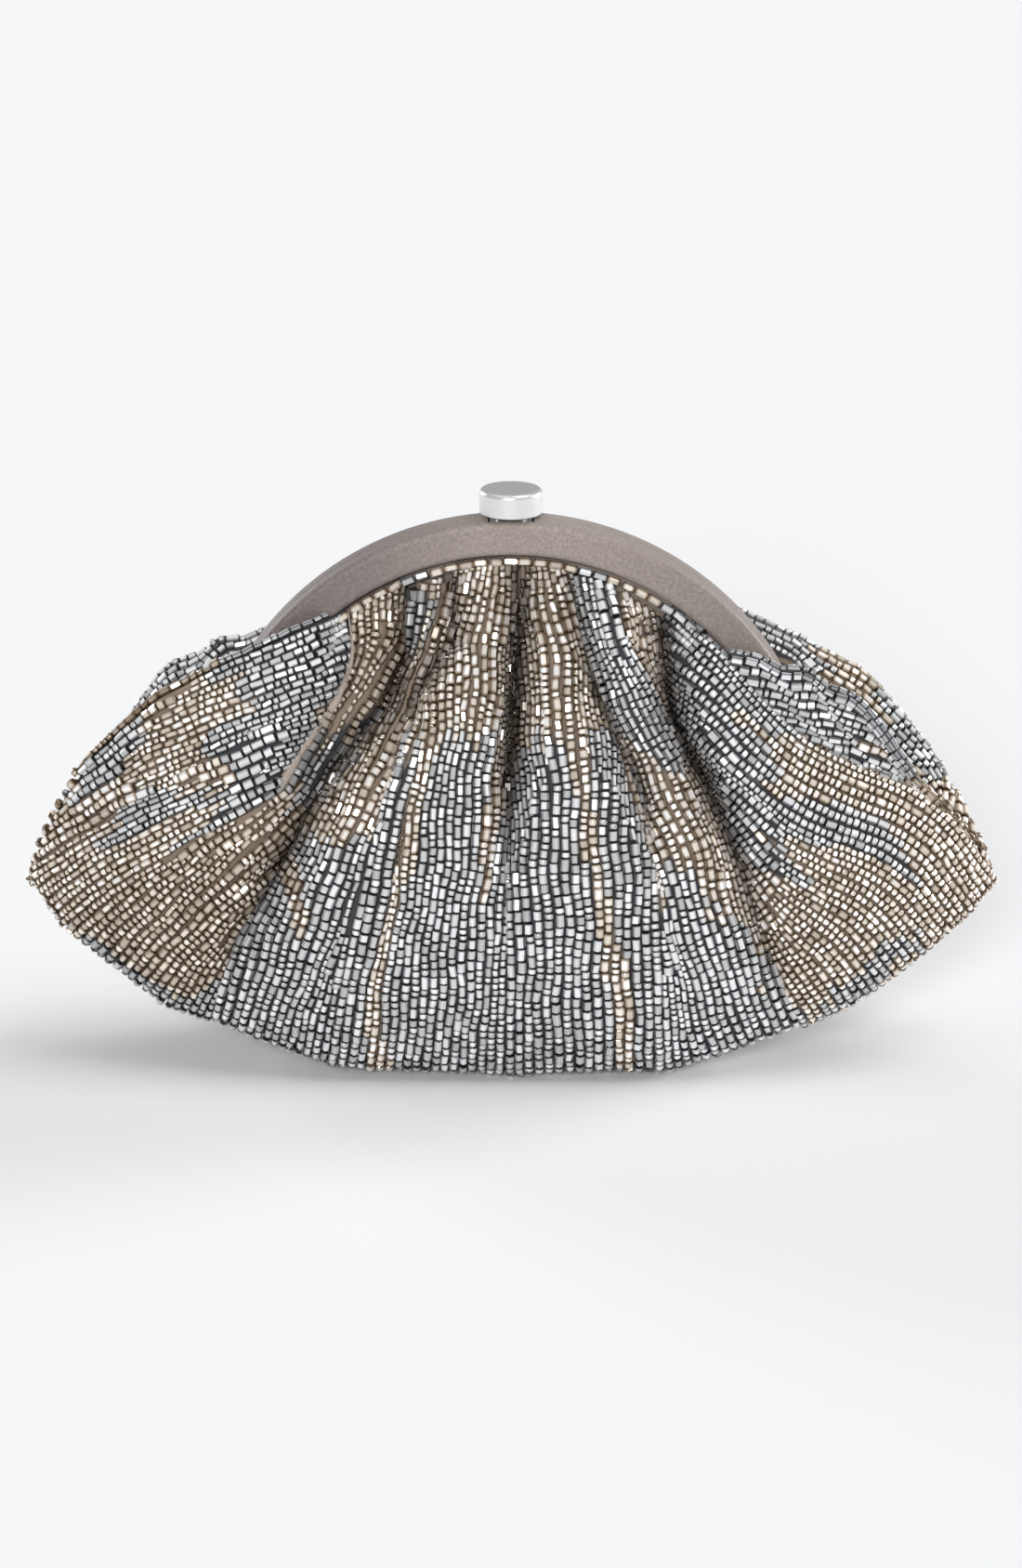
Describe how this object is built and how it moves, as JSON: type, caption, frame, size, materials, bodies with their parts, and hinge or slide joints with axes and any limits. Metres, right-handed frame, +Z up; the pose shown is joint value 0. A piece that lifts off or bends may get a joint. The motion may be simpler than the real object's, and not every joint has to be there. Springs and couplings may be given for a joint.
{
  "type": "evening clutch pouch",
  "caption": "Pleated, beaded evening pouch on an arched satin-covered hinged frame with a round push-button clasp; stands on its flat bottom and opens at the top.",
  "frame": {"origin": "middle of the flattened bottom of the pouch, where it stands on the table", "axes": "+X from the left tip to the right tip as seen from the front, +Y to the back, +Z up towards the button"},
  "size_m": [0.254, 0.0694, 0.1547],
  "materials": {
    "frame_steel": "plated sheet steel, hidden inside the frame",
    "hinge_steel": "turned and riveted steel",
    "spring_steel": "hard drawn spring steel",
    "brushed_nickel": "satin brushed nickel plate",
    "satin_cover": "taupe satin, fine weave with a soft sheen",
    "lining_satin": "taupe lining satin",
    "paper_cord": "twisted paper cord, glued",
    "beaded_cloth": "dark ground cloth covered with strings of glass beads",
    "grey_beads": "matte blue-grey metallic glass beads",
    "champagne_beads": "silver-lined champagne glass beads"
  },
  "bodies": {
    "bag": {"front_panel": "beaded_cloth", "back_panel": "beaded_cloth", "front_lining": "lining_satin", "back_lining": "lining_satin", "slip_pocket": "lining_satin", "left_hinge_pin": "hinge_steel", "right_hinge_pin": "hinge_steel"},
    "front_frame": {"front_frame_core": "frame_steel", "front_frame_cover": "satin_cover", "front_paper_cord": "paper_cord", "front_bead_trim": "champagne_beads", "striker": "frame_steel", "striker_rivets": "hinge_steel"},
    "back_frame": {"back_frame_core": "frame_steel", "back_frame_cover": "satin_cover", "back_paper_cord": "paper_cord", "back_bead_trim": "grey_beads", "latch_housing": "frame_steel", "housing_rivets": "hinge_steel", "latch_spring": "spring_steel", "stem_collar": "hinge_steel"},
    "button": {"button_cap": "brushed_nickel", "button_stem": "hinge_steel", "release_fork": "hinge_steel", "return_spring": "spring_steel"}
  },
  "joints": [
    {"name": "front_frame_hinge", "type": "hinge", "parent": "bag", "child": "front_frame", "pos_m": [0, 0, 0.0885], "axis": [1, 0, 0], "range_deg": [0, 38], "deforming": ["front_panel", "front_lining", "latch_spring"]},
    {"name": "back_frame_hinge", "type": "hinge", "parent": "bag", "child": "back_frame", "pos_m": [0, 0, 0.0885], "axis": [-1, 0, 0], "range_deg": [0, 38], "deforming": ["back_panel", "back_lining", "slip_pocket"]},
    {"name": "button_press", "type": "slide", "parent": "back_frame", "child": "button", "axis": [0, 0, -1], "range_m": [0, 0.0009], "stiffness_N_per_m": 900, "springref_m": -0.002, "deforming": ["return_spring"]}
  ],
  "couplings": [
    {"joint": "back_frame_hinge", "follows": "front_frame_hinge", "ratio": 1}
  ]
}
